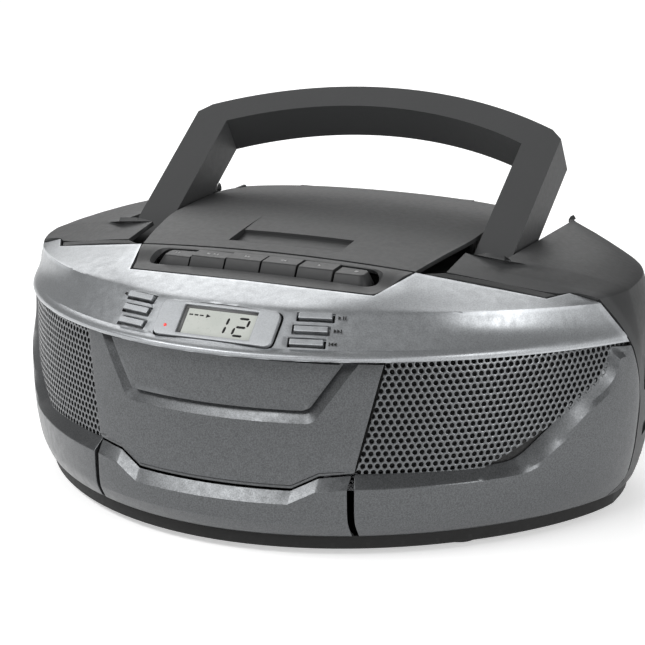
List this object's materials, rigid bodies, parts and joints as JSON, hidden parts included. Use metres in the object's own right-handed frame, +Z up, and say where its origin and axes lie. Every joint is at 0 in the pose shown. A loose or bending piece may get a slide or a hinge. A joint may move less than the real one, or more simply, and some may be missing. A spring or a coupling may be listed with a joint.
{
  "type": "boombox",
  "caption": "Portable CD, cassette and radio player with curved two-tone casing, perforated speaker grilles, top-loading disc lid and folding carry handle.",
  "frame": {"origin": "under the middle of the housing, on the surface it stands on", "axes": "+X to the listener's right, +Y to the back, +Z up"},
  "size_m": [0.33, 0.238, 0.1852],
  "materials": {
    "charcoal_plastic": "fine grained satin moulding",
    "silver_paint": "metallic silver paint on plastic, satin",
    "dark_silver_paint": "metallic gunmetal paint on plastic, satin",
    "grille_metal": "perforated sheet, satin black",
    "black_plastic": "matte",
    "rubber": "matte",
    "steel": "plated",
    "display_glass": "clear window over a grey display",
    "board_green": "solder mask",
    "cone_paper": "pressed paper",
    "white_plastic": "satin",
    "brass": "turned",
    "winding": "taped coil"
  },
  "bodies": {
    "root": {"cabinet": "charcoal_plastic", "base_pan": "black_plastic", "rubber_feet": "rubber", "fascia": "silver_paint", "bumper_center": "dark_silver_paint", "bumper_left": "dark_silver_paint", "bumper_right": "dark_silver_paint", "grille_left": "grille_metal", "grille_right": "grille_metal", "speaker_left": "black_plastic", "speaker_right": "black_plastic", "speaker_cones": "cone_paper", "key_panel": "charcoal_plastic", "top_strips": "charcoal_plastic", "lcd_bezel": "silver_paint", "lcd_glass": "display_glass", "cd_deck": "black_plastic", "cd_mechanism": "steel", "cassette_chassis": "steel", "tape_head": "steel", "drive_motor": "steel", "main_board": "board_green", "transformer": "winding", "ac_inlet": "black_plastic", "battery_box": "black_plastic", "hinge_pins": "steel", "housing_screws": "steel", "antenna_mount": "black_plastic", "control_housings": "black_plastic"},
    "handle": {"handle": "charcoal_plastic"},
    "cd_lid": {"cd_lid": "charcoal_plastic"},
    "disc_clamp": {"disc_clamp": "black_plastic"},
    "cassette_door": {"cassette_door": "dark_silver_paint", "door_panel": "silver_paint", "cassette_holder": "black_plastic"},
    "battery_door": {"battery_door": "charcoal_plastic"},
    "tuning_wheel": {"tuning_wheel": "black_plastic"},
    "volume_wheel": {"volume_wheel": "black_plastic"},
    "band_switch": {"band_switch": "black_plastic"},
    "function_switch": {"function_switch": "black_plastic"},
    "antenna_tube": {"antenna_tube": "steel"},
    "antenna_rod": {"antenna_rod": "steel"},
    "cd_spindle": {"cd_spindle": "black_plastic"},
    "pickup_sled": {"pickup_sled": "black_plastic"},
    "supply_spool": {"supply_spool": "white_plastic"},
    "takeup_spool": {"takeup_spool": "white_plastic"},
    "flywheel": {"flywheel": "brass"},
    "motor_pulley": {"motor_pulley": "brass"},
    "key_1": {"key_1": "charcoal_plastic"},
    "button_1": {"button_1": "silver_paint"},
    "key_2": {"key_2": "charcoal_plastic"},
    "button_2": {"button_2": "silver_paint"},
    "key_3": {"key_3": "charcoal_plastic"},
    "button_3": {"button_3": "silver_paint"},
    "key_4": {"key_4": "charcoal_plastic"},
    "button_4": {"button_4": "silver_paint"},
    "key_5": {"key_5": "charcoal_plastic"},
    "button_5": {"button_5": "silver_paint"},
    "key_6": {"key_6": "charcoal_plastic"},
    "button_6": {"button_6": "silver_paint"}
  },
  "joints": [
    {"name": "handle_fold", "type": "hinge", "parent": "root", "child": "handle", "pos_m": [0, 0.003, 0.109], "axis": [1, 0, 0], "range_deg": [-32, 56.5]},
    {"name": "lid_hinge", "type": "hinge", "parent": "root", "child": "cd_lid", "pos_m": [0, 0.091, 0.124], "axis": [-1, 0, 0], "range_deg": [0, 55]},
    {"name": "clamp_spin", "type": "hinge", "parent": "cd_lid", "child": "disc_clamp", "pos_m": [0, 0.024, 0.1214], "axis": [0, 0, 1], "continuous": true},
    {"name": "door_hinge", "type": "hinge", "parent": "root", "child": "cassette_door", "pos_m": [0, -0.096, 0.042], "axis": [1, 0, 0], "range_deg": [0, 26]},
    {"name": "key_1_press", "type": "slide", "parent": "root", "child": "key_1", "axis": [0, 0.0698, -0.9976], "range_m": [0, 0.003], "stiffness_N_per_m": 200},
    {"name": "key_2_press", "type": "slide", "parent": "root", "child": "key_2", "axis": [0, 0.0698, -0.9976], "range_m": [0, 0.003], "stiffness_N_per_m": 200},
    {"name": "key_3_press", "type": "slide", "parent": "root", "child": "key_3", "axis": [0, 0.0698, -0.9976], "range_m": [0, 0.003], "stiffness_N_per_m": 200},
    {"name": "key_4_press", "type": "slide", "parent": "root", "child": "key_4", "axis": [0, 0.0698, -0.9976], "range_m": [0, 0.003], "stiffness_N_per_m": 200},
    {"name": "key_5_press", "type": "slide", "parent": "root", "child": "key_5", "axis": [0, 0.0698, -0.9976], "range_m": [0, 0.003], "stiffness_N_per_m": 200},
    {"name": "key_6_press", "type": "slide", "parent": "root", "child": "key_6", "axis": [0, 0.0698, -0.9976], "range_m": [0, 0.003], "stiffness_N_per_m": 200},
    {"name": "button_1_press", "type": "slide", "parent": "root", "child": "button_1", "axis": [0.1891, 0.6684, -0.7193], "range_m": [0, 0.0008], "stiffness_N_per_m": 400},
    {"name": "button_2_press", "type": "slide", "parent": "root", "child": "button_2", "axis": [0.1891, 0.6684, -0.7193], "range_m": [0, 0.0008], "stiffness_N_per_m": 400},
    {"name": "button_3_press", "type": "slide", "parent": "root", "child": "button_3", "axis": [0.1891, 0.6684, -0.7193], "range_m": [0, 0.0008], "stiffness_N_per_m": 400},
    {"name": "button_4_press", "type": "slide", "parent": "root", "child": "button_4", "axis": [-0.1891, 0.6684, -0.7193], "range_m": [0, 0.0008], "stiffness_N_per_m": 400},
    {"name": "button_5_press", "type": "slide", "parent": "root", "child": "button_5", "axis": [-0.1891, 0.6684, -0.7193], "range_m": [0, 0.0008], "stiffness_N_per_m": 400},
    {"name": "button_6_press", "type": "slide", "parent": "root", "child": "button_6", "axis": [-0.1891, 0.6684, -0.7193], "range_m": [0, 0.0008], "stiffness_N_per_m": 400},
    {"name": "tuning_turn", "type": "hinge", "parent": "root", "child": "tuning_wheel", "pos_m": [0.155, 0.04, 0.072], "axis": [1, 0, 0], "range_deg": [-150, 150]},
    {"name": "volume_turn", "type": "hinge", "parent": "root", "child": "volume_wheel", "pos_m": [-0.155, 0.04, 0.072], "axis": [-1, 0, 0], "range_deg": [0, 280]},
    {"name": "band_slide", "type": "slide", "parent": "root", "child": "band_switch", "axis": [0, 1, 0], "range_m": [-0.005, 0.005]},
    {"name": "function_slide", "type": "slide", "parent": "root", "child": "function_switch", "axis": [0, 1, 0], "range_m": [-0.005, 0.005]},
    {"name": "antenna_swing", "type": "hinge", "parent": "root", "child": "antenna_tube", "pos_m": [0.092, 0.1149, 0.093], "axis": [0, 1, 0], "range_deg": [0, 150]},
    {"name": "antenna_extend", "type": "slide", "parent": "antenna_tube", "child": "antenna_rod", "axis": [-1, 0, 0], "range_m": [0, 0.1]},
    {"name": "battery_door_hinge", "type": "hinge", "parent": "root", "child": "battery_door", "pos_m": [0, 0.116, 0.014], "axis": [-1, 0, 0], "range_deg": [0, 85]},
    {"name": "disc_spin", "type": "hinge", "parent": "root", "child": "cd_spindle", "pos_m": [0, 0.024, 0.1012], "axis": [0, 0, 1], "continuous": true},
    {"name": "pickup_slide", "type": "slide", "parent": "root", "child": "pickup_sled", "axis": [1, 0, 0], "range_m": [0, 0.022]},
    {"name": "flywheel_spin", "type": "hinge", "parent": "root", "child": "flywheel", "pos_m": [0.008, -0.075, 0.086], "axis": [0, 1, 0], "continuous": true},
    {"name": "motor_spin", "type": "hinge", "parent": "root", "child": "motor_pulley", "pos_m": [0.044, -0.075, 0.084], "axis": [0, 1, 0], "continuous": true},
    {"name": "takeup_spin", "type": "hinge", "parent": "root", "child": "takeup_spool", "pos_m": [0.02125, -0.075, 0.062], "axis": [0, 1, 0], "continuous": true},
    {"name": "supply_spin", "type": "hinge", "parent": "root", "child": "supply_spool", "pos_m": [-0.02125, -0.075, 0.062], "axis": [0, 1, 0], "continuous": true}
  ],
  "couplings": [
    {"joint": "motor_spin", "follows": "flywheel_spin", "ratio": 4.25},
    {"joint": "takeup_spin", "follows": "flywheel_spin", "ratio": -0.25}
  ]
}
